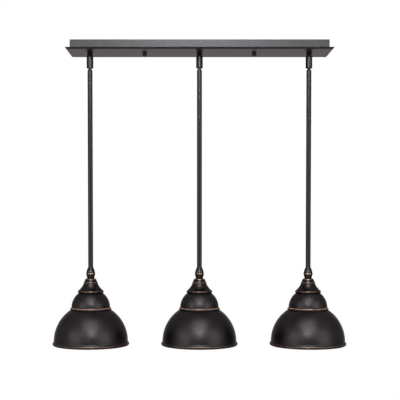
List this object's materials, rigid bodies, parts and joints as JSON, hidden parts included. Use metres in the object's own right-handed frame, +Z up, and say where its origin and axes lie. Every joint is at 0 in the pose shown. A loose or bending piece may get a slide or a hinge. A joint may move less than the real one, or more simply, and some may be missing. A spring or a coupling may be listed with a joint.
{
  "type": "linear island pendant",
  "caption": "Linear ceiling pendant: a rectangular canopy carries a row of rigid stems on hang-straight swivels, each with a double-dome spun metal shade and a screw lampholder.",
  "frame": {"origin": "centre of the canopy's ceiling side, in the plane that touches the ceiling", "axes": "+Z up into the ceiling, +X along the canopy to the viewer's right, -Y towards the viewer; the pendants hang along -Z"},
  "size_m": [0.6872, 0.1792, 0.7022],
  "materials": {
    "bronze": "dark, nearly black oil-rubbed bronze, satin, rubbed through to copper on edges",
    "bronze_shade": "dark bronze outside with copper rubbed through on bead and rim, white enamel inside",
    "zinc_steel": "bright zinc plating",
    "green_screw": "green passivated steel",
    "bushing_plastic": "moulded nylon",
    "porcelain": "white glazed porcelain",
    "brass": "pressed brass, bare",
    "ring_plastic": "moulded phenolic"
  },
  "bodies": {
    "canopy": {"face_plate": "bronze", "canopy_pan": "bronze", "mounting_strap": "zinc_steel", "strap_studs": "zinc_steel", "stud_jam_nuts": "zinc_steel", "cover_nuts": "bronze", "ground_screw": "green_screw", "swivel_nuts": "zinc_steel", "swivel_lock_washers": "zinc_steel", "wire_bushings": "bushing_plastic", "shank_left": "zinc_steel", "shank_center": "zinc_steel", "shank_right": "zinc_steel", "swivel_barrel_left": "bronze", "swivel_barrel_center": "bronze", "swivel_barrel_right": "bronze"},
    "key_left": {"key_pins_left": "zinc_steel"},
    "pendant_left": {"ball_stud_left": "bronze", "stem_left": "bronze", "knuckle_left": "bronze", "cap_nipple_left": "zinc_steel", "cap_left": "bronze", "cap_lock_nut_left": "zinc_steel", "socket_body_left": "porcelain", "screw_shell_left": "brass", "center_contact_left": "brass", "shade_ring_left": "ring_plastic", "shade_left": "bronze_shade"},
    "key_center": {"key_pins_center": "zinc_steel"},
    "pendant_center": {"ball_stud_center": "bronze", "stem_center": "bronze", "knuckle_center": "bronze", "cap_nipple_center": "zinc_steel", "cap_center": "bronze", "cap_lock_nut_center": "zinc_steel", "socket_body_center": "porcelain", "screw_shell_center": "brass", "center_contact_center": "brass", "shade_ring_center": "ring_plastic", "shade_center": "bronze_shade"},
    "key_right": {"key_pins_right": "zinc_steel"},
    "pendant_right": {"ball_stud_right": "bronze", "stem_right": "bronze", "knuckle_right": "bronze", "cap_nipple_right": "zinc_steel", "cap_right": "bronze", "cap_lock_nut_right": "zinc_steel", "socket_body_right": "porcelain", "screw_shell_right": "brass", "center_contact_right": "brass", "shade_ring_right": "ring_plastic", "shade_right": "bronze_shade"}
  },
  "joints": [
    {"name": "swing_side_left", "type": "hinge", "parent": "canopy", "child": "key_left", "pos_m": [-0.254, 0, -0.0531], "axis": [0, 1, 0], "range_deg": [-3, 20]},
    {"name": "swing_front_left", "type": "hinge", "parent": "key_left", "child": "pendant_left", "pos_m": [-0.254, 0, -0.0531], "axis": [1, 0, 0], "range_deg": [-20, 20]},
    {"name": "swing_side_center", "type": "hinge", "parent": "canopy", "child": "key_center", "pos_m": [0, 0, -0.0531], "axis": [0, 1, 0], "range_deg": [-3, 3]},
    {"name": "swing_front_center", "type": "hinge", "parent": "key_center", "child": "pendant_center", "pos_m": [0, 0, -0.0531], "axis": [1, 0, 0], "range_deg": [-20, 20]},
    {"name": "swing_side_right", "type": "hinge", "parent": "canopy", "child": "key_right", "pos_m": [0.254, 0, -0.0531], "axis": [0, 1, 0], "range_deg": [-20, 3]},
    {"name": "swing_front_right", "type": "hinge", "parent": "key_right", "child": "pendant_right", "pos_m": [0.254, 0, -0.0531], "axis": [1, 0, 0], "range_deg": [-20, 20]}
  ]
}
